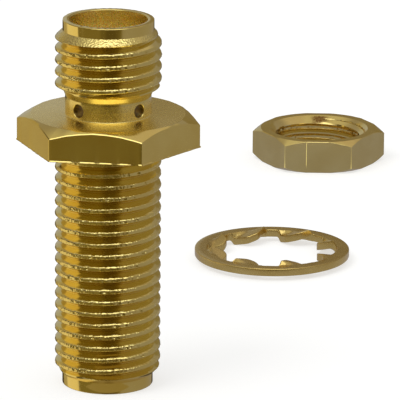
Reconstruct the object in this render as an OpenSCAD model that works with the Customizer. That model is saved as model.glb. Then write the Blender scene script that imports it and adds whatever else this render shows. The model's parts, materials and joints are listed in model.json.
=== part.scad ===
// Coaxial bulkhead adapter: a screw-on socket at each end, a hexagon flange between them,
// and the thin nut and toothed lock washer that clamp it to a panel, laid beside it.
// The adapter stands on its rear end face. Its axis is Z, with the front socket on top.

/* [Turned body] */
// Length of the body in front of the flange, up to the front end face
front_length = 5.71; // [5.2:0.01:9]
// Diameter of the plain pilot at each end, ahead of the thread
pilot_d = 5.4; // [5.3:0.01:5.45]
// Length of the pilot at the front end
front_pilot_length = 0.62; // [0.3:0.01:1]
// Length of the pilot at the rear end
rear_pilot_length = 0.68; // [0.3:0.01:1]
// Bevel on the outer edge of both end faces
end_bevel = 0.08; // [0.02:0.01:0.12]
// Diameter of the plain neck that stands on the flange
neck_d = 5.1; // [4.9:0.01:5.4]
// Length of the neck from the flange to the cone below the front thread
neck_length = 1.12; // [1.05:0.01:1.6]

/* [Thread] */
// Major diameter of both outside threads
thread_major_d = 6.32; // [6.19:0.01:6.35]
// Distance from one thread crest to the next
thread_pitch = 0.7056; // [0.65:0.0001:0.8]
// Width of a crest, rounded on the real thread and flat here
crest_flat = 0.22; // [0.12:0.01:0.28]
// Width of the flat at the foot of a groove
root_flat = 0.024; // [0.01:0.001:0.08]
// Distance from a pilot's shoulder to the middle of the first groove
thread_start = 0.6; // [0.4:0.01:1]
// Least length of uncut barrel between the last groove and the flange
thread_runout = 0.4; // [0.2:0.01:1]
// Play between the outside thread and the nut's thread, both radial and along the axis
thread_play = 0.04; // [0.01:0.01:0.06]
// Depth of the nut's thread
nut_thread_depth = 0.35; // [0.25:0.01:0.38]

/* [Flange] */
// Height of the flange's underside, which seats on the panel, above the rear end face
flange_height = 14.69; // [10:0.01:15.2]
// Thickness of the flange
flange_thickness = 1.87; // [1.2:0.01:2.2]
// Distance across the flange's flats
flange_across_flats = 9.5; // [8.5:0.01:11]
// Width of the flange's chamfer, measured in from a flat
flange_chamfer = 0.15; // [0.05:0.01:0.5]
// Slope of the corner chamfers on the flange and the nut
chamfer_slope = 30; // [20:1:40]

/* [Sockets] */
// Diameter of the counterbore that takes a plug's nose
counterbore_d = 4.6; // [4.4:0.01:4.75]
// Depth of the counterbore, down to the reference plane
counterbore_depth = 1.9; // [1.7:0.01:2.1]
// Bevel round the counterbore's mouth
mouth_bevel = 0.12; // [0.05:0.01:0.15]

/* [Insulator] */
// Diameter of the long bore that holds the insulating bead
bead_bore_d = 4.1; // [3.9:0.01:4.2]
// Radial gap between the bead and its bore
bead_gap = 0.01; // [0.005:0.005:0.03]
// Radial gap between the bead and the contact
contact_gap = 0.01; // [0.005:0.005:0.03]

/* [Centre contact] */
// Diameter of the contact rod
contact_d = 1.27; // [1.2:0.01:1.4]
// Depth of the contact's ends below the reference planes
contact_recess = 0.05; // [0:0.01:0.15]
// Diameter of the socket in each end of the contact
contact_socket_d = 0.94; // [0.9:0.01:1]
// Length of solid rod left between the straight part of a socket and the epoxy's groove
contact_web = 0.29; // [0.25:0.01:0.7]
// Number of spring fingers at each end
finger_count = 4; // [2:2:4]
// Width of the saw cuts between the fingers
finger_slot_width = 0.14; // [0.08:0.01:0.15]
// Length of the socket below the saw cuts, where the fingers join
finger_root = 0.5; // [0.3:0.01:0.9]
// Bevel on the tips of the fingers, inside and out
finger_bevel = 0.06; // [0.02:0.01:0.07]

/* [Epoxy key] */
// Number of holes in the neck that the epoxy is run in through
key_count = 4; // [2:1:6]
// Diameter of those holes
key_d = 0.82; // [0.5:0.01:0.9]
// Height of the holes' middle above the flange
key_height = 0.56; // [0.5:0.01:0.6]
// Angle from the middle of the front flat to the first hole
key_turn = -35; // [-60:1:60]
// Depth of the epoxy below the neck's surface
key_recess = 0.25; // [0.05:0.01:0.4]
// Depth of the contact's groove that the epoxy grips
key_groove_depth = 0.33; // [0.2:0.01:0.4]

/* [Hex nut] */
// Distance across the nut's flats
nut_across_flats = 7.94; // [7.8:0.01:10]
// Thickness of the nut
nut_thickness = 2.2; // [1.5:0.01:3]
// Diameter of the circle on which the nut's corner chamfers start
nut_face_d = 8.1; // [7.8:0.01:8.6]
// Width of the countersink that opens each end of the nut's thread, past the major diameter
nut_lead = 0.2; // [0.05:0.01:0.3]
// Slope of that countersink, from the nut's face
nut_lead_slope = 40; // [30:1:45]

/* [Lock washer] */
// Outer diameter of the lock washer
washer_d = 10; // [9:0.01:12]
// Thickness of its sheet
washer_thickness = 0.5; // [0.3:0.01:0.8]
// Diameter of the circle at the roots of the teeth
tooth_root_d = 8.4; // [8:0.01:8.8]
// Radial gap between the tooth tips and the outside thread
tooth_gap = 0.1; // [0.05:0.01:0.2]
// Number of teeth
tooth_count = 8; // [6:1:9]
// Half the angle that a tooth spans at its tip
tooth_tip_angle = 7; // [5:0.5:9]
// Half the angle that a tooth spans at its root
tooth_root_angle = 15; // [12:0.5:18]
// Twist of each tooth about its own middle line
tooth_twist = 24; // [10:1:35]
// Length of tooth over which the twist comes in
tooth_twist_run = 0.5; // [0.3:0.05:0.9]

/* [Places] */
// Distance of the nut and the washer to the right of the adapter's axis
hardware_x = 6.4; // [0:0.1:20]
// Distance of the washer's middle behind the adapter's axis
washer_y = 27.5; // [15:0.1:40]
// Distance of the nut's middle behind the washer's middle
nut_spacing = 25.5; // [12:0.1:40]
// Turn of the nut about its own axis
nut_turn = 6.5; // [-30:0.5:30]
// Turn of the washer about its own axis
washer_turn = 29.5; // [0:0.5:45]

/* [Hidden] */
$fn = 96;
over = 0.5; // how far a cutter runs past what it cuts

flank = tan(30); // both flanks of a 60 degree thread
thread_depth = (thread_pitch - crest_flat - root_flat) / (2 * flank);
groove_width = thread_pitch - crest_flat;
major_r = thread_major_d / 2;
nut_major_r = major_r + thread_play;
nut_minor_r = nut_major_r - nut_thread_depth;
nut_groove_width = crest_flat + 2 * nut_thread_depth * flank;

pilot_r = pilot_d / 2;
neck_r = neck_d / 2;
lead_in = major_r - pilot_r; // the cones that open and close the threads stand at 45 degrees
neck_cone = major_r - neck_r;
flange_top = flange_height + flange_thickness;
body_length = flange_top + front_length;
neck_top = flange_top + neck_length;
flange_face_r = flange_across_flats / 2 - flange_chamfer;

bead_r = bead_bore_d / 2 - bead_gap;
bead_length = body_length - 2 * counterbore_depth;
bead_hole_r = contact_d / 2 + contact_gap;
contact_low = counterbore_depth + contact_recess;
contact_length = body_length - 2 * contact_low;

key_z = flange_top + key_height;
key_core_r = contact_d / 2 - key_groove_depth;
key_end_r = neck_r - key_recess;
key_groove_low = key_z - key_d / 2 - contact_low;
key_groove_high = key_groove_low + key_d;

finger_bore_r = contact_socket_d / 2;
drill_point = finger_bore_r / tan(59);
contact_socket_depth = contact_length - key_groove_high - contact_web;
finger_slot_length = contact_socket_depth - finger_root;

nut_y = washer_y + nut_spacing;

washer_steps = 18; // columns across one tooth and one gap
washer_columns = tooth_count * washer_steps;
tooth_rows = 7;
tip_r = major_r + tooth_gap;
root_r = tooth_root_d / 2;
ring_inner_r = root_r + 0.1; // the flat ring ends a little outside the teeth's roots

function ease(t) = let (u = min(1, max(0, t))) u * u * (3 - 2 * u);

module hexagon(across_flats, height) {
    cylinder(r = across_flats / 2 / cos(30), h = height, $fn = 6);
}

// The section of one thread groove: a floor of the given width at floor_r, from which it opens
// outwards where depth is above 0 and inwards where it is below
module groove_section(floor_r, floor_width, depth) {
    floor_half = floor_width / 2;
    mouth_half = floor_half + abs(depth) * flank;
    mouth_r = floor_r + depth;
    polygon([[floor_r, -floor_half], [mouth_r, -mouth_half], [mouth_r, mouth_half], [floor_r, floor_half]]);
}

// Grooves one pitch apart from the height first up to the height last
module outside_grooves(first, last) {
    for (z = [first : thread_pitch : last - groove_width / 2])
        translate([0, z]) groove_section(major_r - thread_depth, root_flat, thread_depth + over);
}

// One half of the turned blank, from the rear end face up to the front one
module blank_section() {
    polygon([
        [0, 0],
        [pilot_r - end_bevel, 0],
        [pilot_r, end_bevel],
        [pilot_r, rear_pilot_length],
        [major_r, rear_pilot_length + lead_in],
        [major_r, flange_height + flange_thickness / 2],
        [neck_r, flange_height + flange_thickness / 2],
        [neck_r, neck_top],
        [major_r, neck_top + neck_cone],
        [major_r, body_length - front_pilot_length - lead_in],
        [pilot_r, body_length - front_pilot_length],
        [pilot_r, body_length - end_bevel],
        [pilot_r - end_bevel, body_length],
        [0, body_length]
    ]);
}

module threaded_blank() {
    rotate_extrude() difference() {
        blank_section();
        outside_grooves(rear_pilot_length + thread_start, flange_height - thread_runout);
        translate([0, body_length]) mirror([0, 1])
            outside_grooves(front_pilot_length + thread_start, body_length - neck_top - neck_cone);
    }
}

// A hexagon whose upper corners are turned off at chamfer_slope, outside the radius face_r
module chamfered_hexagon(across_flats, height, face_r) {
    corner_r = across_flats / 2 / cos(30) + over;
    intersection() {
        hexagon(across_flats, height);
        rotate_extrude() polygon([
            [0, 0], [corner_r, 0], [corner_r, height - (corner_r - face_r) * tan(chamfer_slope)],
            [face_r, height], [0, height]
        ]);
    }
}

// The counterbore of one socket, cut down from an end face at height 0
module socket_cutter() {
    mouth_r = counterbore_d / 2 + mouth_bevel;
    translate([0, 0, -counterbore_depth]) cylinder(d = counterbore_d, h = counterbore_depth + over);
    translate([0, 0, -mouth_bevel]) cylinder(r1 = counterbore_d / 2, r2 = mouth_r, h = mouth_bevel);
}

// Puts a child that points outwards along +Z at both ends of a length that starts at height 0
module both_ends(length) {
    translate([0, 0, length]) children();
    mirror([0, 0, 1]) children();
}

// Turns a child that points along +Z into every epoxy hole
module at_each_key() {
    for (i = [0 : key_count - 1])
        translate([0, 0, key_z]) rotate([0, 0, key_turn - 90 + i * 360 / key_count])
            rotate([0, 90, 0]) children();
}

module connector_body() {
    color("#c8a23c") difference() {
        union() {
            threaded_blank();
            translate([0, 0, flange_height])
                chamfered_hexagon(flange_across_flats, flange_thickness, flange_face_r);
        }
        translate([0, 0, counterbore_depth - over]) cylinder(d = bead_bore_d, h = bead_length + 2 * over);
        both_ends(body_length) socket_cutter();
        at_each_key() cylinder(d = key_d, h = neck_r + over);
    }
}

module dielectric_bead() {
    color("#efece2") difference() {
        translate([0, 0, counterbore_depth]) cylinder(r = bead_r, h = bead_length);
        translate([0, 0, counterbore_depth - over]) cylinder(r = bead_hole_r, h = bead_length + 2 * over);
        at_each_key() cylinder(d = key_d, h = bead_r + over);
    }
}

// What is drilled and sawn out of one end of the contact, whose end face is at height 0
module finger_cutter() {
    bore_top_r = finger_bore_r + finger_bevel;
    translate([0, 0, -contact_socket_depth])
        cylinder(r = finger_bore_r, h = contact_socket_depth + over);
    translate([0, 0, -contact_socket_depth - drill_point])
        cylinder(r1 = 0, r2 = finger_bore_r, h = drill_point);
    translate([0, 0, -finger_bevel]) cylinder(r1 = finger_bore_r, r2 = bore_top_r, h = finger_bevel);
    for (i = [0 : finger_count / 2 - 1])
        rotate([0, 0, 45 + i * 360 / finger_count])
            translate([-contact_d, -finger_slot_width / 2, -finger_slot_length])
                cube([2 * contact_d, finger_slot_width, finger_slot_length + over]);
}

module contact_rod() {
    rod_r = contact_d / 2;
    rotate_extrude() polygon([
        [0, 0],
        [rod_r - finger_bevel, 0],
        [rod_r, finger_bevel],
        [rod_r, key_groove_low],
        [key_core_r, key_groove_low],
        [key_core_r, key_groove_high],
        [rod_r, key_groove_high],
        [rod_r, contact_length - finger_bevel],
        [rod_r - finger_bevel, contact_length],
        [0, contact_length]
    ]);
}

module centre_contact() {
    color("#d9b650") translate([0, 0, contact_low]) difference() {
        contact_rod();
        both_ends(contact_length) finger_cutter();
    }
}

// A collar cast in the contact's groove, with a spoke out through the bead into each hole of the neck
module epoxy_key() {
    color("#6b4d1e") difference() {
        union() {
            translate([0, 0, key_z - key_d / 2]) cylinder(r = contact_d / 2, h = key_d);
            at_each_key() cylinder(d = key_d, h = key_end_r);
        }
        translate([0, 0, key_z - key_d]) cylinder(r = key_core_r, h = 2 * key_d);
    }
}

module hex_nut() {
    half = nut_thickness / 2;
    lead_r = nut_major_r + nut_lead;
    lead_height = (lead_r - nut_minor_r) * tan(nut_lead_slope);
    groove_z = thread_pitch * floor((half - nut_groove_width / 2) / thread_pitch);
    color("#b79a4a") translate([hardware_x, nut_y, half]) rotate([0, 0, nut_turn]) difference() {
        intersection() {
            translate([0, 0, -half]) chamfered_hexagon(nut_across_flats, nut_thickness, nut_face_d / 2);
            rotate([180, 0, 0]) translate([0, 0, -half])
                chamfered_hexagon(nut_across_flats, nut_thickness, nut_face_d / 2);
        }
        rotate_extrude() {
            translate([0, -half - over]) square([nut_minor_r, nut_thickness + 2 * over]);
            for (z = [-groove_z : thread_pitch : groove_z + thread_pitch / 2])
                translate([0, z]) groove_section(nut_major_r, crest_flat, -nut_thread_depth - over);
            for (side = [-1, 1])
                polygon([
                    [0, side * (half - lead_height)], [nut_minor_r, side * (half - lead_height)],
                    [lead_r, side * half], [lead_r, side * (half + over)], [0, side * (half + over)]
                ]);
        }
    }
}

// How far a point of the washer lies from the middle of its nearest tooth, as an angle
function tooth_angle(column) =
    let (turn = column / washer_steps - round(column / washer_steps)) turn * 360 / tooth_count;

// 1 across the tip of a tooth, 0 in the gap, with rounded flanks between
function tooth_fullness(angle) =
    1 - ease((abs(angle) - tooth_tip_angle) / (tooth_root_angle - tooth_tip_angle));

function inner_r(column) = root_r - (root_r - tip_r) * tooth_fullness(tooth_angle(column));

// Radii across one column, from the rim to the inner edge
function column_radii(column) =
    let (run = inner_r(column) - ring_inner_r)
    [washer_d / 2, for (i = [0 : tooth_rows]) ring_inner_r + run * i / tooth_rows];

// Height of the sheet's middle: each tooth turns about its own middle line, clockwise side up
function twist_height(r, column) =
    -tan(tooth_twist) * r * sin(tooth_angle(column)) * ease((root_r - r) / tooth_twist_run);

function column_points(column) =
    let (
        radii = column_radii(column),
        last = len(radii) - 1,
        turn = column * 360 / washer_columns,
        point = function (r, side)
            [r * cos(turn), r * sin(turn), twist_height(r, column) + side * washer_thickness / 2]
    )
    [for (i = [0 : last]) point(radii[i], 1), for (i = [last : -1 : 0]) point(radii[i], -1)];

module lock_washer() {
    columns = [for (c = [0 : washer_columns - 1]) column_points(c)];
    size = len(columns[0]);
    points = [for (c = columns) each c];
    index = function (c, k) (c % washer_columns) * size + k % size;
    faces = [
        for (c = [0 : washer_columns - 1], k = [0 : size - 1])
            each [
                [index(c, k), index(c, k + 1), index(c + 1, k + 1)],
                [index(c, k), index(c + 1, k + 1), index(c + 1, k)]
            ]
    ];
    lift = -min([for (p = points) p[2]]); // it lies on the low corners of its teeth
    color("#b0945a") translate([hardware_x, washer_y, lift]) rotate([0, 0, washer_turn])
        polyhedron(points, faces, convexity = 6);
}

connector_body();
dielectric_bead();
centre_contact();
epoxy_key();
hex_nut();
lock_washer();
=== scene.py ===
import json
import math

import bpy
import numpy as np
from mathutils import Matrix, Vector


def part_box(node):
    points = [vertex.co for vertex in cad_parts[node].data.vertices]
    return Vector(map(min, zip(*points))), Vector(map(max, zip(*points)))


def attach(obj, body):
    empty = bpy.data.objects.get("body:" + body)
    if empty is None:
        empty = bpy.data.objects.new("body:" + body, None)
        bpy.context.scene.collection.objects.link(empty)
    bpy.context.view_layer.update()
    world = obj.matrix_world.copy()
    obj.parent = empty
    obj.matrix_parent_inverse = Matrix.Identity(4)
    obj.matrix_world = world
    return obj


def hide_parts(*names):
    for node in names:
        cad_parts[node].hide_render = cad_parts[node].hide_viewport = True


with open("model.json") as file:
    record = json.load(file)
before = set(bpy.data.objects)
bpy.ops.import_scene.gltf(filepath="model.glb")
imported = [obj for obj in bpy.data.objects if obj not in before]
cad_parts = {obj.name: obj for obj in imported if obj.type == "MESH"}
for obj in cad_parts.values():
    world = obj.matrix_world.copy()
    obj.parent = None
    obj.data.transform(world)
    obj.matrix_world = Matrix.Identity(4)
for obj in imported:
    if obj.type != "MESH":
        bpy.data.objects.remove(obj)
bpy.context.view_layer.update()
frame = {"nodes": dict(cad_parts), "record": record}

# --- Adapter body ----------------------------------------------------------------------------
# Hexagon brass bar, turned down on each side of the flange that is left of it, threaded on the
# lathe and bored from end to end. Four holes are drilled through the neck for the epoxy. The
# whole piece is then plated with gold, so every wall, the bores too, has the same skin.

MM = 0.001

mounts = {mount["name"]: mount for mount in frame["record"]["mounts"]}
body_low, body_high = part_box("connector_body")
body_length = (body_high.z - body_low.z) / MM
flange_flats = (body_high.y - body_low.y) / MM
flange_seat = mounts["panel_seat"]["pos_m"][2] / MM
flange_thickness = 1.87
flange_top = flange_seat + flange_thickness
flange_face_r = flange_flats / 2 - 0.15  # where the turned face meets the chamfer
flange_corner_round = 0.07
flange_edge = 0.035  # how far the edges of the flange are broken
flange_burr = 0.035  # how far the burrs stand out that turning left on the lower edge
chamfer_fall = math.tan(math.radians(30))  # both hexagons are chamfered at 30 degrees

thread_major_r = mounts["panel_thread"]["dims"]["r_mm"]
thread_pitch = 0.7056  # 36 to the inch
thread_depth = 0.43
flank_slope = math.tan(math.radians(30))  # half of the thread's angle
crest_round = 0.24  # the crests are rolled over on top, and less so below
crest_round_below = 0.1
crest_tear = 0.045  # how deep the die tears the crests
front_crest = 20.825  # height of one crest where it crosses the +X axis
rear_crest = 12.919
thread_fade = 0.4  # the rear thread runs out over this length under the flange

pilot_r = 2.7
pilot_edge = 0.055
front_shoulder = body_length - 0.62
rear_shoulder = 0.68
neck_r = 2.55
neck_end = flange_top + 1.16
neck_fillet = 0.06
flare_height = 0.3  # the neck flares a little before it meets the cone under the thread
flare_slope = 0.38
cone_slope = 1.8

bore_r = mounts["front_socket"]["dims"]["r_mm"]
bore_edge = 0.06
bead_low, bead_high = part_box("dielectric_bead")
bore_floor = bead_low.z / MM
bead_bore_r = bead_high.x / MM + 0.01

hole_r = 0.4
hole_height = flange_top + 0.56
hole_turn = -125  # degrees from +X to the first hole
hole_depth = 1.2
hole_flare = 0.02  # how much wider the holes get where they break out


def hexagon_r(angles, across_flats, corner_round):
    """How far a hexagon with rounded corners reaches at each angle. It has a corner at angle 0."""
    off_corner = (angles + math.pi / 6) % (math.pi / 3) - math.pi / 6
    flat_r = across_flats / 2 / np.cos(math.pi / 6 - abs(off_corner))
    centre_r = (across_flats / 2 - corner_round) / math.cos(math.pi / 6)
    reach = np.maximum(0, corner_round**2 - (centre_r * np.sin(off_corner)) ** 2)
    round_r = centre_r * np.cos(off_corner) + np.sqrt(reach)
    tangent = math.atan2(corner_round / 2, centre_r + corner_round * math.cos(math.pi / 6))
    return np.where(abs(off_corner) < tangent, round_r, flat_r)


def hexagon_angles(across_flats, corner_round, even):
    """Angles evenly round the axis, with more at each corner of the hexagon to turn it round."""
    centre_r = (across_flats / 2 - corner_round) / math.cos(math.pi / 6)
    bends = np.radians([-30, -15, 15, 30])
    corner = np.arctan2(corner_round * np.sin(bends), centre_r + corner_round * np.cos(bends))
    extra = [i * math.pi / 3 + corner for i in range(6)]
    angles = np.concatenate([np.arange(even) * 2 * math.pi / even, *extra])
    return np.sort(angles % (2 * math.pi))


def round_edge(centre_r, centre_z, radius, start, end, steps=4):
    """Points round an edge from one angle to another, in degrees: 0 points outwards and 90 up."""
    turns = np.radians(np.linspace(start, end, steps + 1))
    return [(centre_r + radius * math.cos(t), centre_z + radius * math.sin(t)) for t in turns]


def waver(angles, size, seed):
    """A small unevenness left by the tool, which meets itself after one turn."""
    draw = np.random.default_rng(seed)
    waves = [draw.normal() * np.sin(k * angles + draw.uniform(0, 2 * math.pi)) for k in range(5, 40)]
    return size * sum(waves) / math.sqrt(len(waves))


def torn(turned):
    """How ragged a crest is, from about -2 to 2, after the thread has turned so far."""
    draw = np.random.default_rng(21)
    waves = [np.sin(k * turned + draw.uniform(0, 2 * math.pi)) for k in draw.uniform(9, 60, 24)]
    return sum(waves) / math.sqrt(len(waves))


def thread_loops(angles, top, bottom, crest, major_r, depth, cut):
    """Loops that follow a right-hand thread, from the top one down, and how many make one pitch.
    crest is a crest's height at angle 0, and cut(r, z) leaves of the thread what the ends do. The
    crests are rounded until they face the flanks, 60 degrees up or down, and are torn a little."""
    bends = np.sin(np.radians(np.arange(0, 61, 15)))
    ends = []
    for round_over in (crest_round, crest_round_below):
        root = flank_slope * (depth - round_over / 2) + round_over * bends[-1]
        ends += [root, (root + round_over * bends[-1]) / 2]
    steps = [*-crest_round_below * bends[:0:-1], *crest_round * bends, ends[1], ends[0]]
    steps += [thread_pitch - ends[2], thread_pitch - ends[3]]
    first = math.floor((bottom - crest) / thread_pitch) - 2
    last = math.ceil((top - crest) / thread_pitch) + 2
    heights = sorted((crest + i * thread_pitch + s for i in range(first, last) for s in steps), reverse=True)
    climb = thread_pitch * angles / (2 * math.pi)
    loops = []
    for height in heights:
        z = np.clip(height + climb, bottom, top)
        turn = np.round((z - crest - climb - (ends[0] - ends[2]) / 2) / thread_pitch)
        off_crest = z - crest - climb - turn * thread_pitch
        round_over = np.where(off_crest > 0, crest_round, crest_round_below)
        crest_half = round_over * bends[-1]
        off_crest = abs(off_crest)
        on_crest = round_over - np.sqrt(np.maximum(0, round_over**2 - off_crest**2))
        on_flank = round_over / 2 + (off_crest - crest_half) / flank_slope
        fall = np.minimum(np.where(off_crest < crest_half, on_crest, on_flank), depth)
        tear = crest_tear * torn(angles + 2 * math.pi * turn) * np.maximum(0, 1 - off_crest / crest_half)
        loops.append((cut(major_r - fall - abs(tear), z), z))
    return loops, len(steps)


def turned_skin(name, angles, bands):
    """A closed skin of loops round the axis, each joined to the next and the last to the first.
    A band is (finish, loops in one pitch, loops): 0 for plain loops, and in a thread the end of a
    loop meets the start of the one a pitch above."""
    radii, heights, meets, finishes = [], [], [], []
    for finish, per_pitch, loops in bands:
        first = len(radii)
        for i, (r, z) in enumerate(loops):
            radii.append(np.broadcast_to(r, angles.shape))
            heights.append(np.broadcast_to(z, angles.shape))
            meets.append(first + max(i - per_pitch, 0))
            finishes.append(finish)
    r, z = np.array(radii), np.array(heights)
    points = np.stack([r * np.cos(angles), r * np.sin(angles), z], axis=-1).reshape(-1, 3)
    _, kept, index = np.unique(np.round(points, 4), axis=0, return_index=True, return_inverse=True)
    index = index.reshape(r.shape)
    right = np.concatenate([index[:, 1:], index[meets, 0][:, None]], axis=1)
    quads = np.stack([index, np.roll(index, -1, 0), np.roll(right, -1, 0), right], axis=-1)
    faces, slots = [], []
    for quad, slot in zip(quads.reshape(-1, 4).tolist(), np.repeat(finishes, len(angles)).tolist()):
        corners = list(dict.fromkeys(quad))
        if len(corners) > 2:
            faces.append(corners)
            slots.append(slot)
    mesh = bpy.data.meshes.new(name)
    mesh.from_pydata((points[kept] * MM).tolist(), [], faces)
    mesh.polygons.foreach_set("material_index", slots)
    return placed(name, mesh)


def placed(name, mesh):
    """Puts a mesh in the scene, shaded smooth up to its real edges."""
    mesh.validate()
    mesh.shade_smooth()
    mesh.set_sharp_from_angle(angle=math.radians(28))
    piece = bpy.data.objects.new(name, mesh)
    bpy.context.scene.collection.objects.link(piece)
    return piece


def front_cones(r, z):
    """The front thread dies out in a cone at each end, and the lower one ends in a short flare."""
    up = z - neck_end
    above_flare = flare_slope * flare_height + cone_slope * (up - flare_height)
    low_cone = neck_r + np.maximum(flare_slope * up, above_flare)
    return np.minimum(np.minimum(r, low_cone), pilot_r + front_shoulder - z)


def rear_ends(r, z):
    """The rear thread starts in a cone and gets shallow towards the flange."""
    shallow = np.clip((z - (flange_seat - 2 * thread_fade)) / thread_fade, 0, 1)
    return np.minimum(r + (thread_major_r - r) * shallow, pilot_r + z - rear_shoulder)


def neck_drills():
    """What the drill takes out of the neck: four round plugs that flare where they break out."""
    around = np.radians(np.arange(0, 360, 10))
    rings = [(hole_r, neck_r - hole_depth, 0), (hole_r, -hole_flare, 1), (hole_r + hole_flare, 0, 1)]
    rings.append((hole_r + 2 * hole_flare, neck_r + 1, 0))
    points, faces = [], []
    for i in range(4):
        turn = math.radians(hole_turn + 90 * i)
        base = len(points)
        for radius, out, on_neck in rings:
            side = radius * np.cos(around)
            x = out + on_neck * np.sqrt(neck_r**2 - side**2)
            y = side
            across = (x * math.cos(turn) - y * math.sin(turn), x * math.sin(turn) + y * math.cos(turn))
            points += np.stack([*across, hole_height + radius * np.sin(around)], axis=-1).tolist()
        size = len(around)
        faces.append([base + k for k in reversed(range(size))])
        for ring in range(len(rings) - 1):
            low, high = base + ring * size, base + (ring + 1) * size
            for k in range(size):
                beside = (k + 1) % size
                faces.append([low + k, low + beside, high + beside, high + k])
        faces.append([high + k for k in range(size)])
    mesh = bpy.data.meshes.new("neck_drills")
    mesh.from_pydata((np.array(points) * MM).tolist(), [], faces)
    return placed("neck_drills", mesh)


def drilled(piece, drill):
    """Takes the drill out of the piece, for good."""
    cut = piece.modifiers.new("drill", "BOOLEAN")
    cut.operation = "DIFFERENCE"
    cut.solver = "MANIFOLD"
    cut.object = drill
    for finish in piece.data.materials:
        drill.data.materials.append(finish)
    view = bpy.context.evaluated_depsgraph_get()
    mesh = bpy.data.meshes.new_from_object(piece.evaluated_get(view))
    name = piece.name
    bpy.data.objects.remove(piece)
    bpy.data.objects.remove(drill)
    return placed(name, mesh)


def adapter_body(*finishes):
    """One skin, followed down the outside from the foot of the front socket and up through the rear
    one. The front rim is nicked and the flange's lower edge is burred."""
    angles = hexagon_angles(flange_flats, flange_corner_round, 180)
    wall = hexagon_r(angles, flange_flats, flange_corner_round)
    face_r = flange_face_r + waver(angles, 0.012, 3)
    burr = np.maximum(0, np.random.default_rng(4).normal(flange_burr, 0.03, len(angles)))
    chamfer_z = flange_top - (wall - face_r) * chamfer_fall
    front_thread, per_pitch = thread_loops(
        angles, front_shoulder, neck_end, front_crest, thread_major_r, thread_depth, front_cones)
    rear_thread, _ = thread_loops(
        angles, flange_seat, rear_shoulder, rear_crest, thread_major_r, thread_depth, rear_ends)
    nicks = waver(angles, 0.008, 6)
    front_bore = [(bead_bore_r, body_length - bore_floor), (bore_r, body_length - bore_floor)]
    front_mouth = [
        *round_edge(bore_r + bore_edge, body_length - bore_edge, bore_edge, 180, 90),
        *round_edge(
            pilot_r - pilot_edge + nicks, body_length - pilot_edge - abs(nicks), pilot_edge, 90, 0),
        (pilot_r, front_shoulder),
    ]
    neck = [(neck_r, neck_end - step) for step in (0.15, 0.35, 0.55, 0.75)]
    neck += round_edge(neck_r + neck_fillet, flange_top + neck_fillet, neck_fillet, 180, 270)
    flange_face = [
        (face_r - flange_edge, flange_top),
        (face_r + flange_edge / 2, flange_top - flange_edge / 2 * chamfer_fall),
        (wall - flange_edge, chamfer_z + flange_edge * chamfer_fall),
    ]
    flange_wall = [
        (wall, chamfer_z - flange_edge),
        (wall, flange_seat + 2.5 * flange_edge),
        (wall + burr, flange_seat + flange_edge),
    ]
    flange_back = [(wall + burr / 2, flange_seat), (thread_major_r + 0.02, flange_seat)]
    rear_mouth = [
        (pilot_r, rear_shoulder),
        *round_edge(pilot_r - pilot_edge, pilot_edge, pilot_edge, 0, -90),
        *round_edge(bore_r + bore_edge, bore_edge, bore_edge, 270, 190),
    ]
    rear_bore = [(bore_r, bore_edge), (bore_r, bore_floor), (bead_bore_r, bore_floor)]
    # The bored slot takes a plate painted lighter than the rest: painted light in the bores and on the neck.
    # The cut slot takes a plate painted paler than the rest: painted highlight on the thread.
    turned, drawn, cut, bored = 0, 1, 2, 3
    body = turned_skin("connector_body_plated", angles, [
        (bored, 0, front_bore),
        (turned, 0, front_mouth),
        (cut, per_pitch, front_thread),
        (bored, 0, neck),
        (turned, 0, flange_face),
        (drawn, 0, flange_wall),
        (turned, 0, flange_back),
        (cut, per_pitch, rear_thread),
        (turned, 0, rear_mouth),
        (bored, 0, rear_bore),
    ])
    for finish in finishes:
        body.data.materials.append(finish)
    return drilled(body, neck_drills())


def linear(colour):
    """An sRGB hex colour, such as "#c8a23c", as linear red, green, blue and alpha."""
    parts = [int(colour[i : i + 2], 16) / 255 for i in (1, 3, 5)]
    return [c / 12.92 if c <= 0.04045 else ((c + 0.055) / 1.055) ** 2.4 for c in parts] + [1]


def add_node(tree, kind, inputs=(), **settings):
    """Adds a node. inputs gives, for each socket, its value or the socket that feeds it."""
    node = tree.nodes.new("ShaderNode" + kind)
    for name, value in settings.items():
        setattr(node, name, value)
    for socket, value in dict(inputs).items():
        if isinstance(value, bpy.types.NodeSocket):
            tree.links.new(value, node.inputs[socket])
        else:
            node.inputs[socket].default_value = value
    return node.outputs


def blank_material(name):
    """A material with nothing in it yet, and its nodes."""
    material = bpy.data.materials.new(name)
    material.use_nodes = True
    material.node_tree.nodes.clear()
    return material, material.node_tree


def place_in_mm(tree):
    """Where on its piece a point lies, in mm, so that a pattern's scale is one over its size in mm."""
    place = add_node(tree, "TexCoord")["Object"]
    return add_node(tree, "VectorMath", {0: place, 1: (1 / MM,) * 3}, operation="MULTIPLY")[0]


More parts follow.
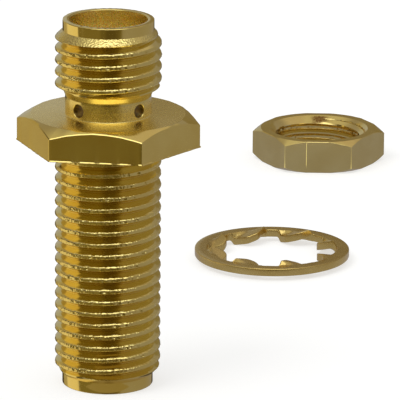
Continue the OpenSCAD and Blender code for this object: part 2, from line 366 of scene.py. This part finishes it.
def gold_plate(name, pale, deep, roughness, grain, lines, tears=None):
    """Electroplated gold over machined brass. Its tone drifts a little with the plate's thickness,
    and the plate follows the metal below: grain is that metal's (size, height) of surface grain
    and lines the tool marks' (gap, height, how far they fade), all in mm. The grain is some ten
    times coarser than on real metal and the marks about twice, as either would be too fine to see.
    tears gives where the tool tore it, beyond a radius or above a height, and the bits' size and
    height."""
    material, tree = blank_material(name)
    mm = place_in_mm(tree)
    drift = add_node(tree, "TexNoise", {"Vector": mm, "Scale": 1 / 2.2, "Detail": 4})["Fac"]
    drift = add_node(tree, "MapRange", {0: drift, 1: 0.35, 2: 0.65})[0]
    gold = add_node(tree, "Mix", {0: drift, 6: linear(pale), 7: linear(deep)}, data_type="RGBA")[2]
    split = add_node(tree, "SeparateXYZ", {0: mm})
    flat = add_node(tree, "CombineXYZ", {0: split[0], 1: split[1]})[0]
    out = add_node(tree, "VectorMath", {0: flat}, operation="LENGTH")["Value"]
    run = add_node(tree, "Math", {0: out, 1: 0.6, 2: split[2]}, operation="MULTIPLY_ADD")[0]
    gap, line_height, fade = lines
    along = {"W": run, "Scale": 1 / gap, "Detail": 2}
    marks = add_node(tree, "TexNoise", along, noise_dimensions="1D")["Fac"]
    patchy = add_node(tree, "TexNoise", {"Vector": mm, "Scale": 1.3, "Detail": 2})["Fac"]
    patchy = add_node(tree, "MapRange", {0: patchy, 1: 0.3, 2: 0.7, 3: 1 - fade, 4: 1})[0]
    height = add_node(tree, "Math", {0: marks, 1: patchy}, operation="MULTIPLY")[0]
    bump = add_node(tree, "Bump", {"Height": height, "Distance": line_height * MM, "Strength": 1})[0]
    grain_size, grain_height = grain
    grains = add_node(tree, "TexNoise", {"Vector": mm, "Scale": 1 / grain_size, "Detail": 3})["Fac"]
    relief = {"Height": grains, "Distance": grain_height * MM, "Strength": 1, "Normal": bump}
    bump = add_node(tree, "Bump", relief)[0]
    if tears:
        radius, above, size, bit_height = tears
        outer = add_node(tree, "MapRange", {0: out, 1: radius, 2: radius + 0.05})[0]
        upper = add_node(tree, "MapRange", {0: split[2], 1: above, 2: above + 0.05})[0]
        where = add_node(tree, "Math", {0: outer, 1: upper}, operation="MAXIMUM")[0]
        bits = add_node(tree, "TexNoise", {"Vector": mm, "Scale": 1 / size, "Detail": 1})["Fac"]
        bits = add_node(tree, "Math", {0: bits, 1: where}, operation="MULTIPLY")[0]
        relief = {"Height": bits, "Distance": bit_height * MM, "Strength": 1, "Normal": bump}
        bump = add_node(tree, "Bump", relief)[0]
    sheen = {0: grains, 1: 0.3, 2: 0.7, 3: roughness - 0.05, 4: roughness + 0.06}
    worn = add_node(tree, "MapRange", sheen)[0]
    plate = {"Base Color": gold, "Roughness": worn, "Metallic": 1, "Normal": bump}
    metal = add_node(tree, "BsdfPrincipled", plate)
    add_node(tree, "OutputMaterial", {"Surface": metal[0]})
    return material


# Turned brass under bright gold: fine rings from the tool.
turned_gold = gold_plate(
    "gold_plate_on_turned_brass", "#efd880", "#e9cf74", 0.12, (0.11, 0.0005), (0.16, 0.0012, 0.7))
# The flats are the drawn faces of the bar: smoother, with hardly a line.
drawn_gold = gold_plate(
    "gold_plate_on_drawn_brass", "#efd880", "#e9cf74", 0.18, (0.09, 0.0012), (0.2, 0.0004, 1))
# The thread is cut with a die, which tears its crests: they glitter in short bright runs. Its plate is
# painted paler and greener than the rest, as a painted highlight that pales the whole thread.
cut_gold_painted_paler = gold_plate(
    "gold_plate_on_die_cut_brass_painted_paler", "#eedb89", "#e8d17c", 0.11, (0.2, 0.0008), (0.16, 0.0004, 0.9),
    (thread_major_r - 0.1, front_shoulder - 0.47, 0.11, 0.035))
# The bores and the neck are turned with a finer feed and never rubbed: a soft even sheen. Their plate is
# painted lighter than the rest, as painted light in the deep bores and on the neck.
bored_gold_painted_lighter = gold_plate(
    "gold_plate_on_bored_brass_painted_lighter", "#f7e18c", "#f2da82", 0.28, (0.12, 0.0006), (0.1, 0.0008, 0.5))

body = adapter_body(turned_gold, drawn_gold, cut_gold_painted_paler, bored_gold_painted_lighter)
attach(body, "root")
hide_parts("connector_body")

# --- Insulating bead -------------------------------------------------------------------------
# A plain bead cut from a rod of white fluoropolymer and pressed into the long bore. Its turned
# ends show at the foot of each socket, round the contact.


def dress(node, material):
    """Gives a piece that is shown as it was packed its own finish."""
    for holder in frame["nodes"][node].material_slots:
        holder.material = material


def fluoropolymer():
    """Turned fluoropolymer: white, waxy and a little clear, with soft rings from the tool."""
    material, tree = blank_material("turned_white_fluoropolymer")
    mm = place_in_mm(tree)
    cloud = add_node(tree, "TexNoise", {"Vector": mm, "Scale": 1 / 0.9, "Detail": 3})["Fac"]
    tones = {0: cloud, 6: linear("#f4f2ea"), 7: linear("#e9e5d8")}
    white = add_node(tree, "Mix", tones, data_type="RGBA")[2]
    flat = add_node(tree, "VectorMath", {0: mm, 1: (1, 1, 0)}, operation="MULTIPLY")[0]
    out = add_node(tree, "VectorMath", {0: flat}, operation="LENGTH")["Value"]
    along = {"W": out, "Scale": 1 / 0.1, "Detail": 2}
    rings = add_node(tree, "TexNoise", along, noise_dimensions="1D")["Fac"]
    bump = add_node(tree, "Bump", {"Height": rings, "Distance": 0.008 * MM, "Strength": 1})[0]
    waxy = {"Base Color": white, "Roughness": 0.42, "IOR": 1.35, "Normal": bump}
    waxy.update({"Subsurface Weight": 0.35, "Subsurface Scale": 0.4 * MM})
    surface = add_node(tree, "BsdfPrincipled", waxy)
    add_node(tree, "OutputMaterial", {"Surface": surface[0]})
    return material


dress("dielectric_bead", fluoropolymer())

# --- Centre contact --------------------------------------------------------------------------
# A beryllium copper rod, bored and sawn into four spring fingers at each end and gold plated.
# It is pushed into the bead, and the plate on it is brighter than the body's.

dress("centre_contact", gold_plate(
    "bright_gold_plate_on_spring_copper", "#f6d986", "#efcb70", 0.13, (0.06, 0.0008), (0.12, 0.001, 0.6)))

# --- Epoxy key -------------------------------------------------------------------------------
# Amber epoxy, run in through the four holes of the neck. It sets in the holes and in the groove
# of the contact, and so holds bead and contact fast. A meniscus leaves it darker at the rim.


def cast_epoxy():
    """Cast epoxy: dark amber, smooth and glossy, with cloudy depth where it was mixed."""
    material, tree = blank_material("cast_amber_epoxy")
    mm = place_in_mm(tree)
    cloud = add_node(tree, "TexNoise", {"Vector": mm, "Scale": 1 / 0.25, "Detail": 4})["Fac"]
    cloud = add_node(tree, "MapRange", {0: cloud, 1: 0.35, 2: 0.65})[0]
    tones = {0: cloud, 6: linear("#6f5218"), 7: linear("#3a270b")}
    amber = add_node(tree, "Mix", tones, data_type="RGBA")[2]
    bump = add_node(tree, "Bump", {"Height": cloud, "Distance": 0.02 * MM, "Strength": 1})[0]
    glossy = {"Base Color": amber, "Roughness": 0.3, "IOR": 1.55, "Normal": bump}
    surface = add_node(tree, "BsdfPrincipled", glossy)
    add_node(tree, "OutputMaterial", {"Surface": surface[0]})
    return material


dress("epoxy_key", cast_epoxy())

# --- Hex nut ---------------------------------------------------------------------------------
# A thin panel nut, cut from hexagon brass bar. Both faces are turned flat with the corners
# chamfered off, the bore is countersunk at both ends and tapped, and it is gold plated.

nut_low, nut_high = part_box("hex_nut")
nut_middle = (nut_low + nut_high) / 2
nut_thickness = (nut_high.z - nut_low.z) / MM
nut_flats = 7.94
nut_turn = math.radians(6.5)
nut_face_r = 4.05
nut_corner_round = 0.09
nut_edge = 0.035
nut_thread_r = thread_major_r + 0.04
nut_thread_depth = 0.35
countersink_r = 3.4
countersink_slope = math.tan(math.radians(40))
nut_crest = 0.5
nut_ridge_turn = math.radians(-101)  # a low ridge that the cutter left down one flat
nut_ridge = 0.03
nut_ridge_half = 0.013  # half of its width, as a turn
nut_face_to_thread = 0.1  # the thread's rows stop this far inside the two faces


def countersinks(r, z):
    """The tapped bore opens out in a cone at both faces."""
    from_face = np.minimum(z, nut_thickness - z)
    return np.maximum(r, countersink_r - from_face / countersink_slope)


def hex_nut():
    """The thread is followed from the top down, then the outside from the lower face up. Its grooves
    have the shape of the adapter's crests, rolled over and torn alike."""
    across_ridge = [nut_ridge_turn + i * nut_ridge_half + 2 * math.pi for i in (-1, 0, 1)]
    angles = np.sort(np.append(hexagon_angles(nut_flats, nut_corner_round, 180), across_ridge))
    wall = hexagon_r(angles, nut_flats, nut_corner_round)
    wall[np.searchsorted(angles, across_ridge[1])] += nut_ridge
    face_r = np.minimum(wall, nut_face_r + waver(angles, 0.01, 7))
    fall = (wall - face_r) * chamfer_fall
    low_z, high_z = nut_face_to_thread, nut_thickness - nut_face_to_thread
    threads, per_pitch = thread_loops(
        angles, high_z, low_z, nut_crest, nut_thread_r, nut_thread_depth, countersinks)
    lead = countersink_r + 0.02
    half_side = [(face_r - nut_edge, 0), (wall - nut_edge, fall), (wall, fall + nut_edge)]
    low_face = [(countersink_r, 0.012), (lead, 0), *half_side]
    high_face = [(r, nut_thickness - z) for r, z in reversed(low_face)]
    outside = [*low_face[:-1]], [low_face[-1], high_face[0]], [*high_face[1:]]
    turned, milled = 0, 1
    return turned_skin("hex_nut_plated", angles, [
        (turned, per_pitch, threads),
        (turned, 0, outside[0]),
        (milled, 0, outside[1]),
        (turned, 0, outside[2]),
    ])


nut = hex_nut()
nut.data.transform(Matrix.Rotation(nut_turn, 4, "Z"))
nut.location = (nut_middle.x, nut_middle.y, nut_low.z)
# Turned faces and a tapped bore under a slightly duller plate than the body's.
nut.data.materials.append(
    gold_plate("gold_plate_on_faced_brass", "#eed88a", "#e6cd7c", 0.17, (0.13, 0.0014), (0.17, 0.0016, 0.6)))
# The flats were milled: straight, even and a little matt.
nut.data.materials.append(
    gold_plate("gold_plate_on_milled_brass", "#eed88a", "#e6cd7c", 0.2, (0.12, 0.0006), (0.25, 0.0004, 1)))
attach(nut, "root")
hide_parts("hex_nut")

# --- Lock washer -----------------------------------------------------------------------------
# Stamped from bronze sheet in one stroke, with eight teeth on the inside that a second tool
# twists, so that their corners bite. The punch rolls the upper edge over and leaves a burr below.

washer_low, washer_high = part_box("lock_washer")
washer_middle = (washer_low + washer_high) / 2
washer_r = (washer_high.x - washer_low.x) / 2 / MM
washer_sheet = 0.5
washer_lift = washer_middle.z / MM
washer_turn = math.radians(29.5)
tooth_count = 8
tooth_root_r = 4.2
tooth_tip_r = thread_major_r + 0.1
tooth_half = 16.5  # degrees from a tooth's middle line to where its side has met the ring
tooth_twist = math.tan(math.radians(17))
tooth_twist_run = 0.22
sheet_edge = 0.07
flat_ring = 0.4  # from the rim inwards, the ring is flat over this width


def ease(t):
    """From 0 to 1 with a soft start and end."""
    t = np.clip(t, 0, 1)
    return t * t * (3 - 2 * t)


def lock_washer():
    """Loops from the rim across the top to the inner edge and back below it. No two teeth are quite
    alike in width, length and twist."""
    steps = 44
    columns = np.arange(tooth_count * steps)
    angles = columns * 2 * math.pi / len(columns)
    draw = np.random.default_rng(11)
    nearest = np.round(columns / steps).astype(int) % tooth_count
    off_tooth = (columns / steps - np.round(columns / steps)) * 360 / tooth_count
    wider = 1 + 0.1 * draw.normal(size=tooth_count)[nearest]
    longer = 0.05 * draw.normal(size=tooth_count)[nearest]
    twist = tooth_twist * (1 + 0.12 * draw.normal(size=tooth_count)[nearest])
    reach = np.minimum(1, abs(off_tooth) / wider / tooth_half)
    tooth = 0.5 + 0.5 * np.cos(math.pi * reach**1.6)
    inner = tooth_root_r - (tooth_root_r - tooth_tip_r + longer) * tooth + waver(angles, 0.014, 5)
    ring = tooth_root_r + 0.1

    def height(r, side):
        twisted = -twist * r * np.sin(np.radians(off_tooth)) * ease((tooth_root_r - r) / tooth_twist_run)
        return washer_lift + np.clip(twisted, -washer_lift + washer_sheet / 2, washer_lift) + side

    half = washer_sheet / 2
    spread = np.linspace(0, 1, 9)
    rim = round_edge(washer_r - sheet_edge, half - sheet_edge, sheet_edge, 0, 90, 3)
    loops = []
    loops += [(r + 0 * angles, height(r, z)) for r, z in rim]
    loops += [(r, height(r, half)) for r in [washer_r - flat_ring + 0 * angles]]
    loops += [(ring + (inner + sheet_edge - ring) * t, None) for t in spread]
    loops = [(r, height(r, half) if z is None else z) for r, z in loops]
    for t in np.radians([60, 30, 0]):
        r = inner + sheet_edge * (1 - math.cos(t))
        loops.append((r, height(inner, half - sheet_edge + sheet_edge * math.sin(t))))
    for t in np.radians([0, 30, 60]):
        r = inner + sheet_edge * (1 - math.cos(t))
        loops.append((r, height(inner, -half + sheet_edge - sheet_edge * math.sin(t))))
    for t in reversed(spread):
        r = ring + (inner + sheet_edge - ring) * t
        loops.append((r, height(r, -half)))
    loops.append((washer_r - flat_ring + 0 * angles, height(washer_r - flat_ring, -half)))
    loops += [(r + 0 * angles, height(r, -z)) for r, z in reversed(rim)]
    return turned_skin("lock_washer_plated", angles, [(0, 0, loops[::-1])])


washer = lock_washer()
washer.data.transform(Matrix.Rotation(washer_turn, 4, "Z"))
washer.location = (washer_middle.x, washer_middle.y, 0)
# Rolled sheet, tumbled before plating: matt, with a fine even grain and no lines.
washer.data.materials.append(gold_plate(
    "matt_gold_plate_on_stamped_bronze", "#dcc277", "#cfb264", 0.27, (0.2, 0.0016), (0.3, 0.0004, 1)))
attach(washer, "root")
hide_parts("lock_washer")

# --- Table and light -------------------------------------------------------------------------
# A white table, a white room for the soft light, and round the pieces a tent of light and dark
# cards that only the polished metal sees, as metal needs dark as well as light to show its form.

aim = (0, 0, 11.24 * MM)
camera_distance = 300 * MM
camera_rise = math.radians(15.56)
camera_turn = math.radians(9)
camera_yaw = math.radians(1.04)
camera_roll = math.radians(0.165)
tent_r = 600 * MM

# Each card: from and to azimuth (0 towards the camera, + to its right), from and to elevation, its
# colour, its brightness, and how soft its edges are. All but the colour and brightness are degrees.
# A card further down the list hides the ones above it.
CARDS = [
    (-190, 190, 50, 100, "#fffaf0", 0.6, 12),
    (100, 190, 40, 70, "#c2b8b3", 1, 8),
    (-55, 60, 36, 100, "#f2f4ff", 2, 7),
    (-190, 190, 80, 100, "#6b4a33", 1, 3),
    (-79, 33, -70, 16, "#7c7048", 1, 6),
    (-14, 26, -75, 16, "#5c5130", 1, 12),
    (-127, -55, 8, 30, "#5f5747", 1, 4),
    (-127, -80, -75, 10, "#fff0d0", 0.84, 4),
    (-155, -127, -75, 30, "#b0a27c", 1, 5),
    (-190, -150, -5, 24, "#b1b1b1", 1, 1),
    (150, 190, -5, 24, "#887c5e", 1, 1),
    (-190, -149, -90, -8, "#4a4233", 1, 4),
    (154, 190, -90, -8, "#4a4233", 1, 4),
]
SURROUND = "#999393"


def seen_by_eye_or_metal(tree):
    """1 for what the camera, polished metal and clear material see, 0 for what lights the scene."""
    path = add_node(tree, "LightPath")
    seen = path["Is Camera Ray"]
    for ray in ("Is Glossy Ray", "Is Transmission Ray"):
        seen = add_node(tree, "Math", {0: seen, 1: path[ray]}, operation="MAXIMUM")[0]
    return seen


def room():
    world = bpy.data.worlds.new("white_room")
    world.use_nodes = True
    tree = world.node_tree
    tree.nodes.clear()
    soft = add_node(tree, "Background", {"Color": linear("#ffffff"), "Strength": 0.75})[0]
    white = add_node(tree, "Background", {"Color": linear("#ffffff"), "Strength": 1})[0]
    both = add_node(tree, "MixShader", {0: seen_by_eye_or_metal(tree), 1: soft, 2: white})[0]
    add_node(tree, "OutputWorld", {"Surface": both})
    bpy.context.scene.world = world


def sheet(name, width, depth):
    """A flat sheet that faces up, its sizes in mm."""
    x, y = width / 2 * MM, depth / 2 * MM
    mesh = bpy.data.meshes.new(name)
    mesh.from_pydata([(-x, -y, 0), (x, -y, 0), (x, y, 0), (-x, y, 0)], [], [(0, 1, 2, 3)])
    return placed(name, mesh)


def table():
    """Matt, and lit up for the eye until it is as white as the room behind it."""
    top = sheet("table", 6000, 6000)
    top.location.z = -0.01 * MM
    top.visible_glossy = False
    material, tree = blank_material("white_table")
    matt = add_node(tree, "BsdfDiffuse", {"Color": linear("#b4b4b2")})[0]
    glow = add_node(tree, "Emission", {"Color": linear("#ffffff"), "Strength": 0.62})[0]
    dark = add_node(tree, "Emission", {"Strength": 0})[0]
    extra = add_node(tree, "MixShader", {0: seen_by_eye_or_metal(tree), 1: dark, 2: glow})[0]
    both = add_node(tree, "AddShader", {0: matt, 1: extra})[0]
    add_node(tree, "OutputMaterial", {"Surface": both})
    top.data.materials.append(material)


def seen_by_metal_only(card, material):
    """Gives a card of the tent its material, and hides it from all but polished metal."""
    for kind in ("camera", "diffuse", "transmission", "volume_scatter", "shadow"):
        setattr(card, "visible_" + kind, False)
    material.cycles.emission_sampling = "NONE"
    card.data.materials.append(material)


def table_card(name, colour, x, y, width, depth, turn, lift):
    """A card that lies on the table and glows in one colour. All sizes are in mm."""
    card = sheet(name, width, depth)
    card.location = (x * MM, y * MM, lift * MM)
    card.rotation_euler.z = turn
    material, tree = blank_material(name)
    glow = add_node(tree, "Emission", {"Color": linear(colour)})[0]
    add_node(tree, "OutputMaterial", {"Surface": glow})
    seen_by_metal_only(card, material)


def table_cards():
    """A card at the foot of the adapter, one under the washer and one under the nut, and a white
    slip off each front corner of the nut, which draws a bright line down it."""
    table_card("tan_card", "#938669", 0.7, -4.4, 4.4, 3.1, camera_turn, -0.006)
    table_card("pale_card", "#adabb5", 7.5, 27, 40, 26, 0, -0.006)
    table_card("grey_card", "#9695a5", 7.5, 60, 40, 40, 0, -0.006)
    slip_length, slip_width, slip_away = 8.8, 1.8, 5
    corner_r = nut_flats / 2 / math.cos(math.pi / 6)
    for name, corner in (("left_slip", -120), ("right_slip", -60)):
        corner_turn = math.radians(corner) + nut_turn
        away = corner_turn + math.radians(corner + 90)
        x = nut_middle.x / MM + corner_r * math.cos(corner_turn) + slip_away * math.cos(away)
        y = nut_middle.y / MM + corner_r * math.sin(corner_turn) + slip_away * math.sin(away)
        table_card(name, "#ffffff", x, y, slip_length, slip_width, away, -0.003)


def tent():
    """A dome all round, on which each card of the list is a window of azimuth and elevation."""
    mesh = bpy.data.meshes.new("card_tent")
    around = np.radians(np.arange(0, 360, 15))
    points = [(0, 0, -tent_r), (0, 0, tent_r)]
    for rise in np.radians(np.arange(-75, 76, 15)):
        ring = [(math.cos(rise) * math.cos(t), math.cos(rise) * math.sin(t), math.sin(rise)) for t in around]
        points += [tuple(tent_r * c for c in p) for p in ring]
    size = len(around)
    rings = (len(points) - 2) // size
    faces = [(0, 2 + (k + 1) % size, 2 + k) for k in range(size)]
    for i in range(rings - 1):
        low, high = 2 + i * size, 2 + (i + 1) * size
        faces += [(low + k, low + (k + 1) % size, high + (k + 1) % size, high + k) for k in range(size)]
    faces += [(1, high + k, high + (k + 1) % size) for k in range(size)]
    mesh.from_pydata(points, [], faces)
    dome = placed("card_tent", mesh)
    dome.rotation_euler.z = camera_turn
    dome.location = aim
    material, tree = blank_material("light_and_dark_cards")
    place = add_node(tree, "TexCoord")["Object"]
    out = add_node(tree, "VectorMath", {0: place}, operation="NORMALIZE")[0]
    split = add_node(tree, "SeparateXYZ", {0: out})
    front = add_node(tree, "Math", {0: split[1], 1: -1}, operation="MULTIPLY")[0]
    azimuth = add_node(tree, "Math", {0: split[0], 1: front}, operation="ARCTAN2")[0]
    azimuth = add_node(tree, "Math", {0: azimuth}, operation="DEGREES")[0]
    rise = add_node(tree, "Math", {0: split[2]}, operation="ARCSINE")[0]
    rise = add_node(tree, "Math", {0: rise}, operation="DEGREES")[0]
    colour = linear(SURROUND)
    for left, right, low, high, card, brightness, soft in CARDS:
        inside = 1
        for where, start, end in ((azimuth, left, right), (rise, low, high)):
            for edge, side in ((start, 1), (end, -1)):
                ramp = {0: where, 1: edge - side * soft, 2: edge + side * soft}
                step = add_node(tree, "MapRange", ramp, interpolation_type="SMOOTHSTEP")[0]
                inside = add_node(tree, "Math", {0: step, 1: inside}, operation="MULTIPLY")[0]
        lit = [brightness * c for c in linear(card)[:3]] + [1]
        colour = add_node(tree, "Mix", {0: inside, 6: colour, 7: lit}, data_type="RGBA")[2]
    glow = add_node(tree, "Emission", {"Color": colour})[0]
    add_node(tree, "OutputMaterial", {"Surface": glow})
    seen_by_metal_only(dome, material)


def soft_lamp():
    lamp = bpy.data.lights.new("soft_lamp", "AREA")
    lamp.shape = "DISK"
    lamp.size = 0.5
    lamp.energy = 2.2
    holder = bpy.data.objects.new("soft_lamp", lamp)
    holder.location = (-0.35, -0.35, 0.75)
    holder.rotation_euler = (math.radians(33), 0, math.radians(-45))
    holder.visible_glossy = False
    bpy.context.scene.collection.objects.link(holder)


def camera():
    lens = bpy.data.cameras.new("camera")
    lens.lens = 456
    lens.sensor_width = 36
    lens.clip_start = 0.01
    eye = bpy.data.objects.new("camera", lens)
    back = Vector((0, -math.cos(camera_rise), math.sin(camera_rise)))
    turn = Matrix.Rotation(camera_turn, 4, "Z")
    place = Matrix.Translation(Vector(aim) + turn @ back * camera_distance)
    tilt = Matrix.Rotation(math.pi / 2 - camera_rise, 4, "X")
    yaw = Matrix.Rotation(-camera_yaw, 4, "Y")
    roll = Matrix.Rotation(camera_roll, 4, "Z")
    eye.matrix_world = place @ turn @ tilt @ yaw @ roll
    bpy.context.scene.collection.objects.link(eye)
    bpy.context.scene.camera = eye


room()
table()
table_cards()
tent()
soft_lamp()
camera()
bpy.context.scene.view_settings.view_transform = "Standard"
